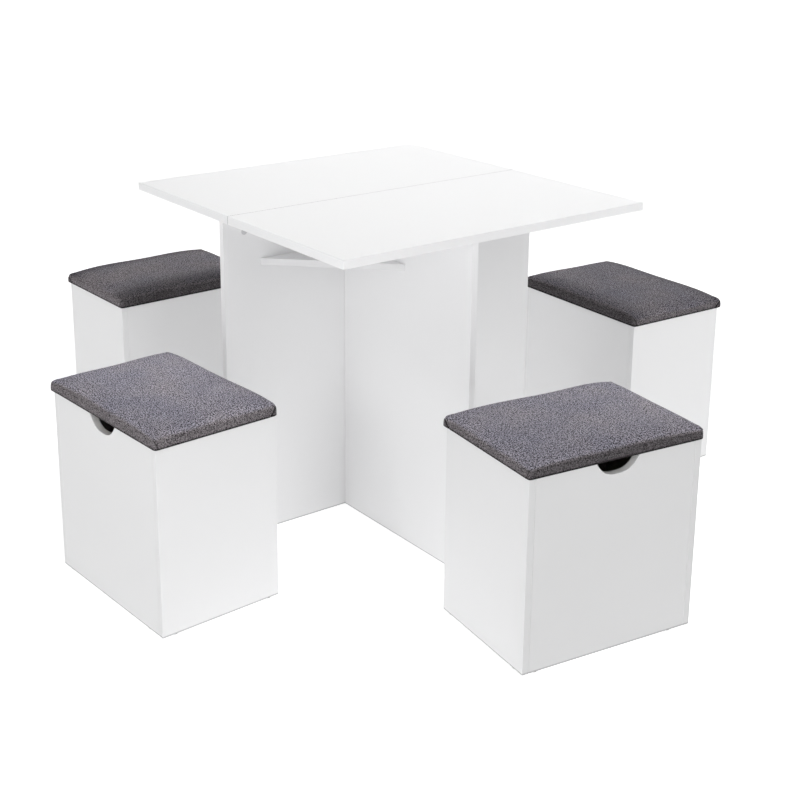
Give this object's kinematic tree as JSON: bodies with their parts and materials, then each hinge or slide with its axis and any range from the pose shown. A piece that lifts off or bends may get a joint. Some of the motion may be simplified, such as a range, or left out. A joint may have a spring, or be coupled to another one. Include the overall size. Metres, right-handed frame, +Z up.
{
  "type": "dining table and stool set",
  "caption": "White dining table with a two-part top on a pinwheel base of upright boards, and box storage stools whose grey padded lids lift off.",
  "frame": {"origin": "on the floor, under the middle of the rectangle that the whole set covers", "axes": "+Z up; X along the tabletop's seam, +X to the table's right; +Y to the table's back, seen from the front stool"},
  "size_m": [1.6186, 1.7026, 0.7653],
  "materials": {
    "white_board": "particle board with a white satin melamine face",
    "grey_board": "thin hardboard with a pale matt face",
    "raw_board": "bare particle board",
    "grey_fabric": "dark grey woven upholstery over thin foam",
    "dark_plastic": "matt black nailed glide",
    "steel": "bright zinc-plated steel",
    "zinc": "grey die-cast zinc"
  },
  "bodies": {
    "table": {"base_board_back": "white_board", "base_board_front": "white_board", "base_board_left": "white_board", "base_board_right": "white_board", "cam_fitting_back": "zinc", "cam_fitting_front": "zinc", "cam_fitting_left": "zinc", "cam_fitting_right": "zinc", "gusset_back_left": "white_board", "gusset_back_right": "white_board", "gusset_front_left": "white_board", "gusset_front_right": "white_board", "joining_plate_left": "steel", "joining_plate_right": "steel", "top_back_half": "white_board", "top_front_half": "white_board"},
    "stool_front": {"stool_front_face_panel": "white_board", "stool_front_floor_panel": "grey_board", "stool_front_glide_fl": "dark_plastic", "stool_front_glide_fr": "dark_plastic", "stool_front_glide_rl": "dark_plastic", "stool_front_glide_rr": "dark_plastic", "stool_front_left_side": "white_board", "stool_front_rear_panel": "white_board", "stool_front_right_side": "white_board"},
    "stool_front_lid": {"stool_front_lid_board": "raw_board", "stool_front_lid_cushion": "grey_fabric"},
    "stool_left": {"stool_left_face_panel": "white_board", "stool_left_floor_panel": "grey_board", "stool_left_glide_fl": "dark_plastic", "stool_left_glide_fr": "dark_plastic", "stool_left_glide_rl": "dark_plastic", "stool_left_glide_rr": "dark_plastic", "stool_left_left_side": "white_board", "stool_left_rear_panel": "white_board", "stool_left_right_side": "white_board"},
    "stool_left_lid": {"stool_left_lid_board": "raw_board", "stool_left_lid_cushion": "grey_fabric"},
    "stool_back": {"stool_back_face_panel": "white_board", "stool_back_floor_panel": "grey_board", "stool_back_glide_fl": "dark_plastic", "stool_back_glide_fr": "dark_plastic", "stool_back_glide_rl": "dark_plastic", "stool_back_glide_rr": "dark_plastic", "stool_back_left_side": "white_board", "stool_back_rear_panel": "white_board", "stool_back_right_side": "white_board"},
    "stool_back_lid": {"stool_back_lid_board": "raw_board", "stool_back_lid_cushion": "grey_fabric"},
    "stool_right": {"stool_right_face_panel": "white_board", "stool_right_floor_panel": "grey_board", "stool_right_glide_fl": "dark_plastic", "stool_right_glide_fr": "dark_plastic", "stool_right_glide_rl": "dark_plastic", "stool_right_glide_rr": "dark_plastic", "stool_right_left_side": "white_board", "stool_right_rear_panel": "white_board", "stool_right_right_side": "white_board"},
    "stool_right_lid": {"stool_right_lid_board": "raw_board", "stool_right_lid_cushion": "grey_fabric"}
  },
  "joints": [
    {"name": "stool_front_slide", "type": "slide", "parent": "table", "child": "stool_front", "axis": [0, -1, 0], "range_m": [-0.085, 0.3]},
    {"name": "stool_front_lid_lift", "type": "slide", "parent": "stool_front", "child": "stool_front_lid", "axis": [0, 0, 1], "range_m": [0, 0.15]},
    {"name": "stool_left_slide", "type": "slide", "parent": "table", "child": "stool_left", "axis": [-1, 0, 0], "range_m": [-0.055, 0.3]},
    {"name": "stool_left_lid_lift", "type": "slide", "parent": "stool_left", "child": "stool_left_lid", "axis": [0, 0, 1], "range_m": [0, 0.15]},
    {"name": "stool_back_slide", "type": "slide", "parent": "table", "child": "stool_back", "axis": [0, 1, 0], "range_m": [-0.51, 0.3]},
    {"name": "stool_back_lid_lift", "type": "slide", "parent": "stool_back", "child": "stool_back_lid", "axis": [0, 0, 1], "range_m": [0, 0.15]},
    {"name": "stool_right_slide", "type": "slide", "parent": "table", "child": "stool_right", "axis": [1, 0, 0], "range_m": [-0.175, 0.3]},
    {"name": "stool_right_lid_lift", "type": "slide", "parent": "stool_right", "child": "stool_right_lid", "axis": [0, 0, 1], "range_m": [0, 0.15]}
  ]
}
